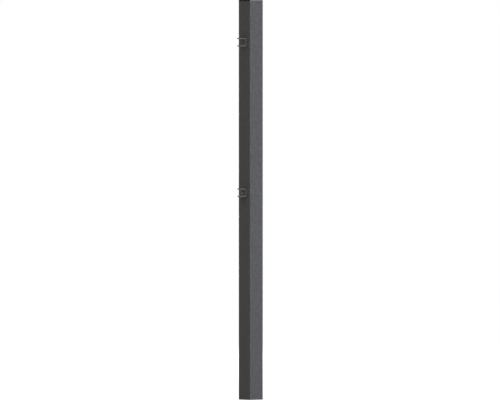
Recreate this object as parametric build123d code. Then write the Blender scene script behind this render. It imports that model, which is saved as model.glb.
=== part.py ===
import os

from build123d import *

# Sizes in millimetres, origin at the centre of the foot, Z up the post, lugs on the -X face
post_height = 1400.0
post_side = 60.0
tube_wall = 2.0
tube_corner = 0.8
tube_inner_corner = 0.5
tube_edge_break = 0.4

# Cap: a moulded plug whose flange covers the cut end of the tube
cap_flange_height = 5.5
cap_edge_round = 0.6
cap_skirt_gap = 2.0
cap_skirt_wall = 2.0
cap_skirt_depth = 22.0
cap_fin_count = 4
cap_fin_height = 1.4
cap_fin_play = 0.1

# Hinge lugs: flat strip bent to a U, open away from the post
upper_lug_drop = 149.0
lug_spacing = 526.0
lug_width = 30.0
lug_thickness = 4.0
lug_gap = 22.0
lug_inner_bend = 2.0
lug_tip_radius = 9.0
lug_pin_offset = 21.5
lug_shoulder_round = 6.0
lug_edge_break = 0.5
hinge_pin_diameter = 10.0
hinge_pin_play = 0.4

# Lug screws: button head with a hexagon socket
screw_diameter = 8.0
screw_length = 16.0
screw_tip_chamfer = 0.8
screw_hole_play = 1.0
screw_head_diameter = 14.0
screw_head_height = 4.4
screw_head_rim = 0.7
screw_socket_width = 5.0
screw_socket_depth = 2.6

# Rivet nuts: set in the tube wall, head flush with the outer face
nut_diameter = 11.0
nut_hole_play = 0.1
nut_thread_play = 0.1
nut_head_depth = 0.6
nut_bulge_width = 2.0
nut_bulge_length = 3.5
nut_spare_length = 0.5

# Sizes that follow from the ones above
tube_length = post_height - cap_flange_height
upper_lug_height = post_height - upper_lug_drop
lower_lug_height = upper_lug_height - lug_spacing
bore_side = post_side - 2 * tube_wall
lug_height = lug_gap + 2 * lug_thickness
lug_outer_bend = lug_inner_bend + lug_thickness
lug_reach = lug_pin_offset + lug_tip_radius
screw_radius = screw_diameter / 2
nut_radius = nut_diameter / 2
nut_length = screw_length - lug_thickness + nut_spare_length


def on_lug_face(height, shape):
    """Turns a shape drawn with +X outwards so that it stands on the post's -X face at this height."""
    return Pos(-post_side / 2, 0, height) * Rot(0, 0, 180) * shape


def on_both_lug_faces(shape):
    """One copy of a shape at each lug, kept as separate solids."""
    return on_lug_face(upper_lug_height, shape) + on_lug_face(lower_lug_height, shape)


def along_x(radius, start, end):
    """Round bar on the X axis between two places."""
    return Pos(start, 0, 0) * Rot(0, 90, 0) * extrude(Circle(radius), end - start)


def turned_on_x(outline):
    """Solid of revolution about the X axis from its half outline in the XY plane."""
    return revolve(make_face(outline), Axis.X)


def sharp_edges(solid):
    """Edges where two faces meet at an angle, without the smooth joints between a flat and its bend."""

    def turn(edge):
        sides = [face for face in solid.faces() if any(edge.is_same(rim) for rim in face.edges())]
        return sides[0].normal_at(edge @ 0.5).get_angle(sides[1].normal_at(edge @ 0.5))

    return solid.edges().filter_by(lambda edge: turn(edge) > 1)


def post_tube():
    """Extruded square tube with crisp corners, broken end edges and a countersunk hole for each rivet nut."""
    section = RectangleRounded(post_side, post_side, tube_corner)
    section -= RectangleRounded(bore_side, bore_side, tube_inner_corner)
    tube = extrude(section, tube_length)
    ends = tube.faces().filter_by(Axis.Z)
    tube = chamfer([end.outer_wire().edges() for end in ends], tube_edge_break)
    hole_radius = nut_radius + nut_hole_play
    hole = along_x(hole_radius, -2 * tube_wall, tube_wall)
    mouth = turned_on_x(
        Polyline(
            (-nut_head_depth, 0),
            (-nut_head_depth, hole_radius),
            (0, hole_radius + nut_head_depth),
            (0, 0),
            close=True,
        )
    )
    return tube - on_both_lug_faces(hole + mouth)


def post_cap():
    """Moulded plug: flange with a rounded top edge, hollow skirt and thin fins that grip the bore."""
    flange = extrude(RectangleRounded(post_side, post_side, tube_corner), cap_flange_height)
    flange = fillet(flange.faces().sort_by(Axis.Z)[-1].edges(), cap_edge_round)
    skirt_side = bore_side - 2 * cap_skirt_gap
    skirt_section = RectangleRounded(skirt_side, skirt_side, cap_skirt_wall + tube_inner_corner)
    hollow_side = skirt_side - 2 * cap_skirt_wall
    hollow = RectangleRounded(hollow_side, hollow_side, tube_inner_corner)
    cap = flange + extrude(skirt_section, -cap_skirt_depth)
    fin_side = bore_side - 2 * cap_fin_play
    fin_section = RectangleRounded(fin_side, fin_side, tube_inner_corner + cap_fin_play)
    fin_pitch = cap_skirt_depth / cap_fin_count
    for fin in range(cap_fin_count):
        cap += Pos(0, 0, -(fin + 0.5) * fin_pitch) * extrude(fin_section, -cap_fin_height)
    cap -= extrude(hollow, -cap_skirt_depth)
    return Pos(0, 0, tube_length) * cap


def hinge_lug():
    """Strip bent to a U: the bent section carried across the width, then cut to the tapered plan."""
    outside = Pos(lug_reach / 2, 0) * Rectangle(lug_reach, lug_height)
    outside = fillet(outside.vertices().group_by(Axis.X)[0], lug_outer_bend)
    inside = Pos(lug_thickness + lug_reach / 2, 0) * Rectangle(lug_reach, lug_gap)
    inside = fillet(inside.vertices().group_by(Axis.X)[0], lug_inner_bend)
    bent = extrude(Plane.XZ * (outside - inside), lug_width / 2, both=True)
    root = Pos(lug_outer_bend / 2, 0) * Rectangle(lug_outer_bend, lug_width)
    tip = Pos(lug_pin_offset, 0) * Circle(lug_tip_radius)
    plan = make_hull(root.edges() + tip.edges())
    plan = fillet(plan.vertices().group_by(Axis.X)[1], lug_shoulder_round)
    lug = bent & extrude(plan, lug_height, both=True)
    lug = chamfer(sharp_edges(lug), lug_edge_break)
    pin_radius = (hinge_pin_diameter + hinge_pin_play) / 2
    lug -= Pos(lug_pin_offset, 0) * extrude(Circle(pin_radius), lug_height, both=True)
    lug -= along_x(screw_radius + screw_hole_play / 2, -lug_thickness, 2 * lug_thickness)
    return lug


def lug_screw():
    """Button head on the lug's web, hexagon socket, plain shank with a chamfered tip."""
    head_radius = screw_head_diameter / 2
    rim = lug_thickness + screw_head_rim
    crown = lug_thickness + screw_head_height
    tip = lug_thickness - screw_length
    dome = TangentArc((crown, 0), (rim, head_radius), tangent=(0, 1), tangent_from_first=True)
    flank = Polyline(
        (crown, 0),
        (tip, 0),
        (tip, screw_radius - screw_tip_chamfer),
        (tip + screw_tip_chamfer, screw_radius),
        (lug_thickness, screw_radius),
        (lug_thickness, head_radius),
        (rim, head_radius),
    )
    screw = turned_on_x([dome, flank])
    socket = Rot(0, 90, 0) * extrude(
        RegularPolygon(screw_socket_width / 2, 6, major_radius=False), screw_head_height
    )
    return screw - Pos(crown - screw_socket_depth, 0, 0) * socket


def rivet_nut():
    """Flush countersunk head, body through the wall, and the bulge set against the wall's inner face."""
    thread_radius = screw_radius + nut_thread_play
    bulge_radius = nut_radius + nut_bulge_width
    bulge_end = -tube_wall - nut_bulge_length
    return turned_on_x(
        Polyline(
            (0, thread_radius),
            (0, nut_radius + nut_head_depth),
            (-nut_head_depth, nut_radius),
            (-tube_wall, nut_radius),
            (-tube_wall, bulge_radius),
            (bulge_end + nut_bulge_width, bulge_radius),
            (bulge_end, nut_radius),
            (-nut_length, nut_radius),
            (-nut_length, thread_radius),
            close=True,
        )
    )


nodes = {
    "post_tube": post_tube(),
    "post_cap": post_cap(),
    "upper_hinge_lug": on_lug_face(upper_lug_height, hinge_lug()),
    "lower_hinge_lug": on_lug_face(lower_lug_height, hinge_lug()),
    "lug_screws": on_both_lug_faces(lug_screw()),
    "rivet_nuts": on_both_lug_faces(rivet_nut()),
}

os.makedirs("parts", exist_ok=True)
for name, shape in nodes.items():
    export_step(shape, f"parts/{name}.step")
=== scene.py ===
import math

import bpy
import numpy as np
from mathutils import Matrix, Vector


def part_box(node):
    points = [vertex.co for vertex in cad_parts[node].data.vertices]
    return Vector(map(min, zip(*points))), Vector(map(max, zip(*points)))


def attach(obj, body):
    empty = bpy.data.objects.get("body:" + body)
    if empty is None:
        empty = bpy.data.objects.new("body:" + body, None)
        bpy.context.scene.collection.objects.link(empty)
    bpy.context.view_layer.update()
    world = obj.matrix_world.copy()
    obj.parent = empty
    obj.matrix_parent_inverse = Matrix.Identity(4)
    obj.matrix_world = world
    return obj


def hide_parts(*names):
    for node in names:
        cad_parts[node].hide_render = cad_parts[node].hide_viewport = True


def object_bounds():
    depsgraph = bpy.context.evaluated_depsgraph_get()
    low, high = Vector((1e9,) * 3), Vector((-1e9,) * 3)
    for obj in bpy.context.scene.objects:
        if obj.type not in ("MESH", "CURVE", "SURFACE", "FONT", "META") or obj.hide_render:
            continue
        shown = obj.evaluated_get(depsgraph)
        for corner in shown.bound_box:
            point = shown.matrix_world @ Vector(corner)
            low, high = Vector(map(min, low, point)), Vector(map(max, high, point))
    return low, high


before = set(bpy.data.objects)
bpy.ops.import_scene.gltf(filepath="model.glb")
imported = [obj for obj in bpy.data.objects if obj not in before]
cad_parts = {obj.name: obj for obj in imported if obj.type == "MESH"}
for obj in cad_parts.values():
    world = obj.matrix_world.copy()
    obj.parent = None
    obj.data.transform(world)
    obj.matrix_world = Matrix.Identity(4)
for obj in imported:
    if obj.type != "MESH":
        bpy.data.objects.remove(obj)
cad_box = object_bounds()


# Post tube: an extruded square aluminium tube with crisp corners, sawn to length and drilled for the lugs.
# Outside it has a fine-textured dark grey powder coat, with a painted highlight: a lighter colour along the
# corners.
# The bore is bare metal, with the fine lengthwise lines that the die left.
COAT_DARK = (0.0585, 0.0587, 0.0600, 1.0)
COAT_LIGHT = (0.0631, 0.0634, 0.0650, 1.0)
# Painted highlight: the lighter colour that the coat takes along the upright corners.
COAT_CORNER_HIGHLIGHT = (0.0650, 0.0653, 0.0670, 1.0)
COAT_GRAIN_PER_M = 1100.0
COAT_GRAIN_SOFTNESS = 0.6
COAT_GRAIN_SHARE = 0.4
COAT_PEEL_PER_M = 420.0
COAT_MOTTLE_PER_M = 130.0
COAT_MOTTLE_SPAN = (0.35, 0.65)
COAT_BUMP_M = 0.00024
COAT_ROUGHNESS = (0.58, 0.42)
# How far the painted corner highlight reaches from each corner.
CORNER_HIGHLIGHT_REACH_M = 0.004
TUBE_WALL_M = 0.002
COATED_SHARE_OF_WALL = 0.6
BARE_DARK = (0.50, 0.50, 0.51, 1.0)
BARE_LIGHT = (0.66, 0.66, 0.67, 1.0)
BARE_ROUGHNESS = (0.30, 0.46)
DIE_LINES_PER_M = (900.0, 900.0, 6.0)
DIE_LINE_HEIGHT = 0.05


def add_node(tree, kind, links=None, **settings):
    """One shader node: settings are its properties, links give an input a value or another node's output."""
    node = tree.nodes.new("ShaderNode" + kind)
    for name, value in settings.items():
        setattr(node, name, value)
    for socket, value in (links or {}).items():
        if isinstance(value, bpy.types.NodeSocket):
            tree.links.new(value, node.inputs[socket])
        else:
            node.inputs[socket].default_value = value
    return node


def mix_colours(tree, share, first, second):
    """Colour that goes from first to second with share; a Mix node's colour sockets are 6, 7 and out 2."""
    return add_node(tree, "Mix", {0: share, 6: first, 7: second}, data_type="RGBA").outputs[2]


def mix_values(tree, share, first, second):
    """Value that goes from first to second with share; a Mix node's value sockets are 2, 3 and out 0."""
    return add_node(tree, "Mix", {0: share, 2: first, 3: second}, data_type="FLOAT").outputs[0]


def spread(tree, value, low, high):
    """Value from 0 to 1 spread evenly between two limits."""
    return add_node(tree, "MapRange", {"Value": value, "To Min": low, "To Max": high}).outputs["Result"]


def stretch(tree, value, low, high, way="LINEAR"):
    """Value between two limits stretched to go from 0 to 1."""
    sockets = {"Value": value, "From Min": low, "From Max": high}
    return add_node(tree, "MapRange", sockets, interpolation_type=way).outputs["Result"]


def maths(tree, operation, first, second):
    """One sum or comparison of two values."""
    return add_node(tree, "Math", {0: first, 1: second}, operation=operation).outputs[0]


def folded_axes(tree, place):
    """A place's x, y and z without their signs."""
    folded = add_node(tree, "VectorMath", {0: place}, operation="ABSOLUTE").outputs[0]
    return add_node(tree, "SeparateXYZ", {0: folded}).outputs


def noise(tree, place, per_metre, detail, distortion=0.0):
    """Cloudy noise from 0 to 1: so many swells to a metre, with so many finer layers on them."""
    sockets = {"Vector": place, "Scale": per_metre, "Detail": detail, "Distortion": distortion}
    return add_node(tree, "TexNoise", sockets).outputs["Fac"]


def bump(tree, height, distance):
    """Normal of a surface whose height goes from 0 to 1 over this distance."""
    return add_node(tree, "Bump", {"Height": height, "Distance": distance}).outputs["Normal"]


def new_group(name, inputs, outputs):
    """Empty shader node group with named sockets, and the sockets to read from and to write to inside it."""
    group = bpy.data.node_groups.new(name, "ShaderNodeTree")
    for socket, kind in inputs.items():
        group.interface.new_socket(socket, in_out="INPUT", socket_type="NodeSocket" + kind)
    for socket, kind in outputs.items():
        group.interface.new_socket(socket, in_out="OUTPUT", socket_type="NodeSocket" + kind)
    return group, group.nodes.new("NodeGroupInput").outputs, group.nodes.new("NodeGroupOutput").inputs


def make_coat_grain():
    """Cured powder: small melted grains as smooth cells, on the swell of orange peel, with a slower mottle.

    Height is the peel less a share of the cells, and Tone the mottle, stretched to go from 0 to 1.
    """
    group, given, put = new_group(
        "coat_grain",
        {
            "Place": "Vector",
            "Grains per Metre": "Float",
            "Peel per Metre": "Float",
            "Mottle per Metre": "Float",
        },
        {"Height": "Float", "Tone": "Float"},
    )
    cells = add_node(
        group,
        "TexVoronoi",
        {"Vector": given["Place"], "Scale": given["Grains per Metre"], "Smoothness": COAT_GRAIN_SOFTNESS},
        feature="SMOOTH_F1",
    ).outputs["Distance"]
    peel = noise(group, given["Place"], given["Peel per Metre"], detail=2.0)
    mottle = noise(group, given["Place"], given["Mottle per Metre"], detail=3.0)
    height = maths(group, "SUBTRACT", peel, maths(group, "MULTIPLY", cells, COAT_GRAIN_SHARE))
    group.links.new(height, put["Height"])
    group.links.new(stretch(group, mottle, *COAT_MOTTLE_SPAN), put["Tone"])
    return group


def make_corner_mask():
    """Nearness to the upright corners of a square bar: 1 on the corner line and 0 from Reach away.

    The distance is that from (|x|, |y|) to (Half Side, Half Side), at any height.
    """
    group, given, put = new_group(
        "corner_mask", {"Place": "Vector", "Half Side": "Float", "Reach": "Float"}, {"Mask": "Float"}
    )
    axes = folded_axes(group, given["Place"])
    short_x = maths(group, "SUBTRACT", given["Half Side"], axes["X"])
    short_y = maths(group, "SUBTRACT", given["Half Side"], axes["Y"])
    flat = add_node(group, "CombineXYZ", {"X": short_x, "Y": short_y}).outputs[0]
    away = add_node(group, "VectorMath", {0: flat}, operation="LENGTH").outputs["Value"]
    group.links.new(stretch(group, away, given["Reach"], 0.0, way="SMOOTHSTEP"), put["Mask"])
    return group


coat_grain = make_coat_grain()
corner_mask = make_corner_mask()


def new_material(name):
    """Node material, with its tree, its shader and the Object coordinates that its patterns read."""
    material = bpy.data.materials.new(name)
    material.use_nodes = True
    tree = material.node_tree
    return material, tree, tree.nodes["Principled BSDF"], add_node(tree, "TexCoord").outputs["Object"]


def feed(tree, shader, **sockets):
    """Links outputs to the shader's inputs, which are named with _ for a space."""
    for name, output in sockets.items():
        tree.links.new(output, shader.inputs[name.replace("_", " ")])


def powder_coat(tree, place, dark, light):
    """Colour, roughness and height of the coat, lighter and smoother where the powder flowed out best."""
    grain = add_node(
        tree,
        "Group",
        {
            "Place": place,
            "Grains per Metre": COAT_GRAIN_PER_M,
            "Peel per Metre": COAT_PEEL_PER_M,
            "Mottle per Metre": COAT_MOTTLE_PER_M,
        },
        node_tree=coat_grain,
    ).outputs
    colour = mix_colours(tree, grain["Tone"], dark, light)
    return colour, spread(tree, grain["Tone"], *COAT_ROUGHNESS), grain["Height"]


def near_corners(tree, place, half_side, reach):
    """Mask along the upright corners of a square piece."""
    sockets = {"Place": place, "Half Side": half_side, "Reach": reach}
    return add_node(tree, "Group", sockets, node_tree=corner_mask).outputs["Mask"]


def give_finish(node_name, material):
    """Gives a node of the frame its one finish."""
    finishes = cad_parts[node_name].data.materials
    finishes.clear()
    finishes.append(material)


def tube_finish():
    """Powder coat outside, and bare metal where |x| and |y| both lie further in than the coat goes."""
    material, tree, shader, place = new_material("powder_coated_tube")
    half_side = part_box("post_tube")[1].x
    coat, coat_rough, coat_height = powder_coat(tree, place, COAT_DARK, COAT_LIGHT)
    # Painted highlight: the coat's colour turns lighter towards each upright corner.
    coat = mix_colours(tree, near_corners(tree, place, half_side, CORNER_HIGHLIGHT_REACH_M), coat, COAT_CORNER_HIGHLIGHT)
    drawn_out = add_node(tree, "Mapping", {"Vector": place, "Scale": DIE_LINES_PER_M}).outputs["Vector"]
    die_lines = noise(tree, drawn_out, per_metre=1.0, detail=3.0)
    bare = mix_colours(tree, die_lines, BARE_DARK, BARE_LIGHT)
    bare_rough = spread(tree, die_lines, *BARE_ROUGHNESS)
    bare_height = maths(tree, "MULTIPLY", die_lines, DIE_LINE_HEIGHT)
    axes = folded_axes(tree, place)
    outermost = maths(tree, "MAXIMUM", axes["X"], axes["Y"])
    in_bore = maths(tree, "LESS_THAN", outermost, half_side - COATED_SHARE_OF_WALL * TUBE_WALL_M)
    feed(
        tree,
        shader,
        Base_Color=mix_colours(tree, in_bore, coat, bare),
        Metallic=in_bore,
        Roughness=mix_values(tree, in_bore, coat_rough, bare_rough),
        Normal=bump(tree, mix_values(tree, in_bore, coat_height, bare_height), COAT_BUMP_M),
    )
    return material


give_finish("post_tube", tube_finish())


# Rivet nuts: turned steel inserts with a flush head, set in the tube wall so that the screws have a thread.
# They are zinc plated, and only their tails show, inside the tube.
ZINC_DARK = (0.40, 0.41, 0.43, 1.0)
ZINC_LIGHT = (0.60, 0.61, 0.62, 1.0)
ZINC_ROUGHNESS = (0.28, 0.44)
ZINC_CRYSTALS_PER_M = 1200.0
ZINC_CLOUD_PER_M = 250.0
ZINC_CLOUD_SHARE = 0.5


def nut_finish():
    """Plated steel: small crystals of their own brightness, clouded by a slower noise."""
    material, tree, shader, place = new_material("zinc_plated_nut")
    shader.inputs["Metallic"].default_value = 1.0
    crystals = add_node(tree, "TexVoronoi", {"Vector": place, "Scale": ZINC_CRYSTALS_PER_M}).outputs["Color"]
    grey = add_node(tree, "SeparateColor", {0: crystals}).outputs[0]
    cloud = noise(tree, place, ZINC_CLOUD_PER_M, detail=4.0)
    brightness = mix_values(tree, ZINC_CLOUD_SHARE, grey, cloud)
    feed(
        tree,
        shader,
        Base_Color=mix_colours(tree, brightness, ZINC_DARK, ZINC_LIGHT),
        Roughness=spread(tree, cloud, *ZINC_ROUGHNESS),
    )
    return material


give_finish("rivet_nuts", nut_finish())


# Hinge lugs: two strips of flat steel bent to a U, with a hole in each arm for the gate's hinge pin.
# Their coat is the tube's in a lighter grey, and each is drawn to the tube by one screw through its web.
LUG_COAT_DARK = (0.091, 0.0905, 0.090, 1.0)
LUG_COAT_LIGHT = (0.099, 0.0985, 0.098, 1.0)


def lug_finish():
    """The lighter powder coat, all over."""
    material, tree, shader, place = new_material("powder_coated_lug")
    coat, rough, height = powder_coat(tree, place, LUG_COAT_DARK, LUG_COAT_LIGHT)
    feed(tree, shader, Base_Color=coat, Roughness=rough, Normal=bump(tree, height, COAT_BUMP_M))
    return material


coated_lug = lug_finish()
give_finish("upper_hinge_lug", coated_lug)
give_finish("lower_hinge_lug", coated_lug)


# Lug screws: button-head steel screws with a hexagon socket and a rolled thread, blackened against rust.
# One goes through each lug's web into its rivet nut, with the head against the web.
SCREW_LENGTH_M = 0.016
SCREW_HEAD_HEIGHT_M = 0.0044
SCREW_RIM_M = 0.0007
SCREW_SHANK_RADIUS_M = 0.004
SCREW_TIP_CHAMFER_M = 0.0008
THREAD_PITCH_M = 0.00125
THREAD_DEPTH_M = 0.00070
THREAD_CREST_SHARE = 1 / 8
THREAD_FLANKS_SHARE = 5 / 8
SOCKET_SIDES = 6
SOCKET_WIDTH_M = 0.005
SOCKET_DEPTH_M = 0.0026
SOCKET_POINT_M = 0.0006
SOCKET_CHAMFER_M = 0.0002
SCREW_BLACK = (0.050, 0.050, 0.051, 1.0)
SCREW_RUBBED = (0.074, 0.074, 0.075, 1.0)
SCREW_ROUGHNESS = (0.44, 0.58)
SCREW_CLOUD_PER_M = 700.0
SCREW_RUBBED_SPAN = (0.55, 0.75)
SCREW_BUMP_M = 0.00002
SCREW_AROUND = 72
SCREW_DOME_RINGS = 18
SOCKET_WALL_RINGS = 5
RINGS_PER_PITCH = 10
SCREW_SMOOTH_BELOW_DEG = 32.0


def ring_faces(ring_count, around):
    """Quads between neighbouring rings of points, and triangles from the end rings to the two poles.

    Ring r holds points r * around onwards; the first ring's pole follows the last ring, then the last ring's.
    """
    step = np.arange(around)
    after = (step + 1) % around
    ring = np.arange(ring_count - 1)[:, None] * around
    quads = np.stack([ring + step, ring + around + step, ring + around + after, ring + after], axis=-1)
    last, pole = (ring_count - 1) * around, ring_count * around
    first_fan = np.stack([step, after, np.full(around, pole)], axis=-1)
    last_fan = np.stack([last + after, last + step, np.full(around, pole + 1)], axis=-1)
    return quads.reshape(-1, 4), np.concatenate([first_fan, last_fan])


def screw_profile(head_radius):
    """Depth below the crown, radius, share of hexagon and share of thread along the screw's half outline.

    From the socket's floor it goes up the hexagon, over the dome, which is an arc of a sphere to the rim,
    down the rim, in under the head, and along the shank to the tip's chamfer. The mouth's radius is that of
    the hexagon's corners, half its width over the cosine of half a side's turn, and the chamfer.
    """
    dome_height = SCREW_HEAD_HEIGHT_M - SCREW_RIM_M
    sphere = (dome_height**2 + head_radius**2) / (2 * dome_height)
    mouth_radius = SOCKET_WIDTH_M / 2 / math.cos(math.pi / SOCKET_SIDES) + SOCKET_CHAMFER_M
    dome_radius = np.linspace(mouth_radius, head_radius, SCREW_DOME_RINGS)
    dome_depth = sphere - np.sqrt(sphere**2 - dome_radius**2)
    wall_depth = np.linspace(SOCKET_DEPTH_M, dome_depth[0] + SOCKET_CHAMFER_M, SOCKET_WALL_RINGS)
    end = SCREW_HEAD_HEIGHT_M + SCREW_LENGTH_M
    shank_end = end - SCREW_TIP_CHAMFER_M
    shank_rings = int(SCREW_LENGTH_M / THREAD_PITCH_M * RINGS_PER_PITCH)
    shank_depth = np.linspace(SCREW_HEAD_HEIGHT_M, shank_end, shank_rings)
    run_out = np.clip((shank_depth - SCREW_HEAD_HEIGHT_M) / THREAD_PITCH_M, 0, 1)
    stretches = [
        (wall_depth, mouth_radius, 1.0, 0.0),
        (dome_depth, dome_radius, 0.0, 0.0),
        ([SCREW_HEAD_HEIGHT_M], head_radius, 0.0, 0.0),
        (shank_depth, SCREW_SHANK_RADIUS_M, 0.0, run_out),
        ([end], SCREW_SHANK_RADIUS_M - SCREW_TIP_CHAMFER_M, 0.0, 0.0),
    ]
    filled = [np.broadcast_arrays(*columns) for columns in stretches]
    return [np.concatenate(column) for column in zip(*filled)]


def screw_points(crown, head_radius):
    """Points of one screw on the X axis: rings about the profile, then the two poles.

    The radius goes from round to the hexagon's own, half the width over the cosine of the angle from a flat,
    and in the thread falls from the crest to the root as a wave of depth less turn, cut off flat at both.
    """
    depth, radius, hexagon, thread = screw_profile(head_radius)
    turn = np.linspace(0, 2 * np.pi, SCREW_AROUND, endpoint=False)
    half_side_turn = np.pi / SOCKET_SIDES
    from_flat = (turn + half_side_turn) % (2 * half_side_turn) - half_side_turn
    hexagon_radius = SOCKET_WIDTH_M / 2 / np.cos(from_flat)
    wave = np.abs(2 * ((depth[:, None] / THREAD_PITCH_M - turn / (2 * np.pi)) % 1) - 1)
    groove = np.clip((wave - THREAD_CREST_SHARE) / THREAD_FLANKS_SHARE, 0, 1)
    radius = radius[:, None] + hexagon[:, None] * (hexagon_radius - radius[:, None])
    radius = radius - THREAD_DEPTH_M * thread[:, None] * groove
    along = np.broadcast_to(depth[:, None], radius.shape)
    rings = np.stack([along, radius * np.cos(turn), radius * np.sin(turn)], axis=-1).reshape(-1, 3)
    poles = np.array([[SOCKET_DEPTH_M + SOCKET_POINT_M, 0, 0], [depth[-1], 0, 0]])
    return np.concatenate([rings, poles]) + np.array(crown), len(depth)


def new_piece(name, points, face_sets, material, smooth_below_deg):
    """Mesh object at the origin, smooth but for edges sharper than the given angle."""
    mesh = bpy.data.meshes.new(name)
    mesh.from_pydata(points.tolist(), [], [face for faces in face_sets for face in faces.tolist()])
    mesh.polygons.foreach_set("use_smooth", np.ones(len(mesh.polygons), dtype=bool))
    mesh.set_sharp_from_angle(angle=math.radians(smooth_below_deg))
    mesh.materials.append(material)
    piece = bpy.data.objects.new(name, mesh)
    bpy.context.scene.collection.objects.link(piece)
    return piece


def screw_finish():
    """Blackened steel with a faint cloudy sheen, rubbed lighter in small patches."""
    material, tree, shader, place = new_material("blackened_screw")
    cloud = noise(tree, place, SCREW_CLOUD_PER_M, detail=3.0)
    rubbed = stretch(tree, cloud, *SCREW_RUBBED_SPAN, way="SMOOTHSTEP")
    feed(
        tree,
        shader,
        Base_Color=mix_colours(tree, rubbed, SCREW_BLACK, SCREW_RUBBED),
        Roughness=spread(tree, cloud, *SCREW_ROUGHNESS),
        Normal=bump(tree, cloud, SCREW_BUMP_M),
    )
    return material


screw_low, screw_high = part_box("lug_screws")
head_radius = (screw_high.y - screw_low.y) / 2
crown_x = screw_high.x - SCREW_LENGTH_M - SCREW_HEAD_HEIGHT_M
screw_sets = []
screw_faces = []
for screw_z in (screw_low.z + head_radius, screw_high.z - head_radius):
    one_screw, rings = screw_points((crown_x, 0.0, screw_z), head_radius)
    points_before = sum(len(points) for points in screw_sets)
    screw_faces += [faces + points_before for faces in ring_faces(rings, SCREW_AROUND)]
    screw_sets.append(one_screw)
screws = new_piece(
    "threaded_lug_screws",
    np.concatenate(screw_sets),
    screw_faces,
    screw_finish(),
    SCREW_SMOOTH_BELOW_DEG,
)
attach(screws, "root")
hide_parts("lug_screws")


# Cap: a black plastic plug, injection moulded in one with its skirt and fins, and pressed into the tube.
# Its flange lies on the cut end of the tube: satin sides, smoother at the corners, and a matt grained top.
CAP_BLACK = (0.0018, 0.0018, 0.0019, 1.0)
CAP_GREY = (0.0032, 0.0032, 0.0033, 1.0)
CAP_ROUGHNESS = (0.22, 0.31)
CAP_CORNER_ROUGHNESS = 0.2
CAP_TOP_ROUGHNESS = (0.58, 0.72)
CAP_TOP_EDGE_M = 0.0002
CAP_CORNER_REACH_M = 0.003
CAP_GRAIN_PER_M = 1500.0
CAP_FLOW_PER_M = 40.0
CAP_FLOW_DISTORTION = 1.2
CAP_BUMP_M = 0.00004


def cap_finish():
    """Mould grain in the sheen and bump, a slow flow of the plastic in the colour, and glossier corners.

    The top, which is all that lies within an edge's depth of the highest point, has the rougher grain.
    """
    material, tree, shader, place = new_material("moulded_black_cap")
    grain = noise(tree, place, CAP_GRAIN_PER_M, detail=2.0)
    flow = noise(tree, place, CAP_FLOW_PER_M, detail=3.0, distortion=CAP_FLOW_DISTORTION)
    cap_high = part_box("post_cap")[1]
    corner = near_corners(tree, place, cap_high.x, CAP_CORNER_REACH_M)
    satin = mix_values(tree, corner, spread(tree, grain, *CAP_ROUGHNESS), CAP_CORNER_ROUGHNESS)
    matt = spread(tree, grain, *CAP_TOP_ROUGHNESS)
    height = add_node(tree, "SeparateXYZ", {0: place}).outputs["Z"]
    on_top = maths(tree, "GREATER_THAN", height, cap_high.z - CAP_TOP_EDGE_M)
    feed(
        tree,
        shader,
        Base_Color=mix_colours(tree, flow, CAP_BLACK, CAP_GREY),
        Roughness=mix_values(tree, on_top, satin, matt),
        Normal=bump(tree, grain, CAP_BUMP_M),
    )
    return material


give_finish("post_cap", cap_finish())


# Studio: a pale floor, a wide cool light before the post's -Y face, two warm ones on the lug side, one of
# them high up, and two behind the post, which stay lower than the cap so that they don't light its top.
# The camera stands far off, level with the top of the post.
VIEW_AZIMUTH_DEG = -41.3
VIEW_DISTANCE_M = 35.0
VIEW_REACH_M = 350.0
FRAME_PER_POST_HEIGHT = 0.9984
FRAME_DROP_M = 0.0004
FRAME_ASPECT = 500 / 400
FLOOR_HALF_M = 12.0
FLOOR_PALE = (0.5, 0.5, 0.5, 1.0)
FLOOR_ROUGHNESS = 0.9
FLOOR_GLOW = (0.89, 0.89, 0.89, 1.0)
SKY_LOW = (0.030, 0.029, 0.0275, 1.0)
SKY_HIGH = (0.34, 0.329, 0.311, 1.0)
SKY_SEEN = (1.0, 1.0, 1.0, 1.0)
COOL_LIGHT = (0.82, 0.851, 0.945)
WARM_LIGHT = (1.0, 0.96, 0.88)
WHITE_LIGHT = (1.0, 1.0, 1.0)
FRONT_LIGHT_TURN_DEG = 57
LUG_SIDE_AZIMUTH_DEG = -80
FRONT_LIGHTS_DISTANCE_M = 8.0
BACK_LIGHTS_DISTANCE_M = 5.0
BACK_LIGHTS_TURN_DEG = 155


def towards(azimuth_deg, elevation_deg):
    """Unit vector from the post: azimuth 0 is -Y, and 90 is +X."""
    azimuth, elevation = math.radians(azimuth_deg), math.radians(elevation_deg)
    level = math.cos(elevation)
    return Vector((math.sin(azimuth) * level, -math.cos(azimuth) * level, math.sin(elevation)))


def soft_light(name, azimuth_deg, elevation_deg, distance, aim_height, size, watts, colour):
    """Rectangular light, with its width and height as size, that faces the post's axis at a height."""
    light = bpy.data.lights.new(name, "AREA")
    light.shape = "RECTANGLE"
    light.size, light.size_y = size
    light.energy = watts
    light.color = colour
    lamp = bpy.data.objects.new(name, light)
    bpy.context.scene.collection.objects.link(lamp)
    direction = towards(azimuth_deg, elevation_deg)
    lamp.location = Vector((0, 0, aim_height)) + direction * distance
    lamp.rotation_euler = direction.to_track_quat("Z", "Y").to_euler()
    lamp.visible_camera = False


post_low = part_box("post_tube")[0]
post_height = cad_box[1].z - cad_box[0].z
middle = post_height / 2

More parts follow.
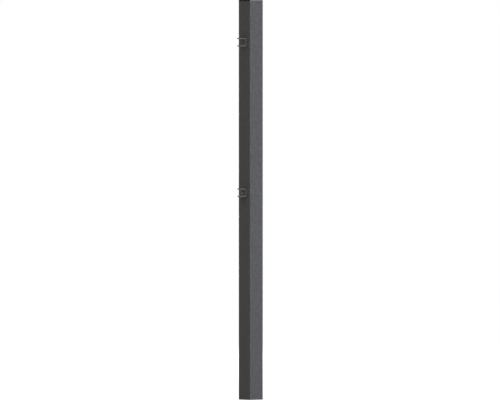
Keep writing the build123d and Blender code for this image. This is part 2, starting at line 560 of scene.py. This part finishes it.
floor_mesh = bpy.data.meshes.new("pale_floor")
floor_mesh.from_pydata(
    [(x * FLOOR_HALF_M, y * FLOOR_HALF_M, 0.0) for x, y in ((-1, -1), (1, -1), (1, 1), (-1, 1))],
    [],
    [(0, 1, 2, 3)],
)
floor_material, floor_tree, floor_shader, _ = new_material("pale_floor")
floor_shader.inputs["Base Color"].default_value = FLOOR_PALE
floor_shader.inputs["Roughness"].default_value = FLOOR_ROUGHNESS
floor_shader.inputs["Specular IOR Level"].default_value = 0.0
floor_shader.inputs["Emission Color"].default_value = FLOOR_GLOW
feed(floor_tree, floor_shader, Emission_Strength=add_node(floor_tree, "LightPath").outputs["Is Camera Ray"])
floor_mesh.materials.append(floor_material)
floor = bpy.data.objects.new("pale_floor", floor_mesh)
bpy.context.scene.collection.objects.link(floor)

world = bpy.data.worlds.new("studio_sky")
world.use_nodes = True
bpy.context.scene.world = world
sky = world.node_tree
sky.nodes.clear()
sky_up = add_node(sky, "SeparateXYZ", {0: add_node(sky, "TexCoord").outputs["Generated"]}).outputs["Z"]
sky_light = add_node(sky, "Background", {"Color": mix_colours(sky, sky_up, SKY_LOW, SKY_HIGH)})
sky_seen = add_node(sky, "Background", {"Color": SKY_SEEN})
seen = add_node(sky, "LightPath").outputs["Is Camera Ray"]
both = add_node(sky, "MixShader", {0: seen, 1: sky_light.outputs[0], 2: sky_seen.outputs[0]})
add_node(sky, "OutputWorld", {"Surface": both.outputs[0]})

soft_light(
    "front_light",
    azimuth_deg=VIEW_AZIMUTH_DEG + FRONT_LIGHT_TURN_DEG,
    elevation_deg=0,
    distance=FRONT_LIGHTS_DISTANCE_M,
    aim_height=1.05,
    size=(9.6, 2.1),
    watts=529,
    colour=COOL_LIGHT,
)
soft_light(
    "lug_side_light",
    azimuth_deg=LUG_SIDE_AZIMUTH_DEG,
    elevation_deg=0,
    distance=FRONT_LIGHTS_DISTANCE_M,
    aim_height=1.1,
    size=(3.0, 2.2),
    watts=212,
    colour=WARM_LIGHT,
)
soft_light(
    "high_lug_side_light",
    azimuth_deg=LUG_SIDE_AZIMUTH_DEG,
    elevation_deg=37,
    distance=FRONT_LIGHTS_DISTANCE_M,
    aim_height=middle,
    size=(1.6, 1.6),
    watts=113,
    colour=WARM_LIGHT,
)
for light_name, turn_deg, light_watts in (
    ("back_right_light", BACK_LIGHTS_TURN_DEG, 66),
    ("back_left_light", -BACK_LIGHTS_TURN_DEG, 150),
):
    soft_light(
        light_name,
        azimuth_deg=VIEW_AZIMUTH_DEG + turn_deg,
        elevation_deg=0,
        distance=BACK_LIGHTS_DISTANCE_M,
        aim_height=middle,
        size=(2.5, 1.3),
        watts=light_watts,
        colour=WHITE_LIGHT,
    )

camera_data = bpy.data.cameras.new("photo_view")
camera = bpy.data.objects.new("photo_view", camera_data)
bpy.context.scene.collection.objects.link(camera)
aim = Vector((post_low.x, post_low.y, middle - FRAME_DROP_M))
level_with_top = Vector((post_low.x, post_low.y, post_height))
camera.location = level_with_top + towards(VIEW_AZIMUTH_DEG, 0) * VIEW_DISTANCE_M
camera.rotation_euler = (camera.location - aim).to_track_quat("Z", "Y").to_euler()
frame_width = FRAME_PER_POST_HEIGHT * post_height * FRAME_ASPECT
camera_data.lens = camera_data.sensor_width * VIEW_DISTANCE_M / frame_width
camera_data.clip_end = VIEW_REACH_M
bpy.context.scene.camera = camera
bpy.context.scene.view_settings.view_transform = "Standard"
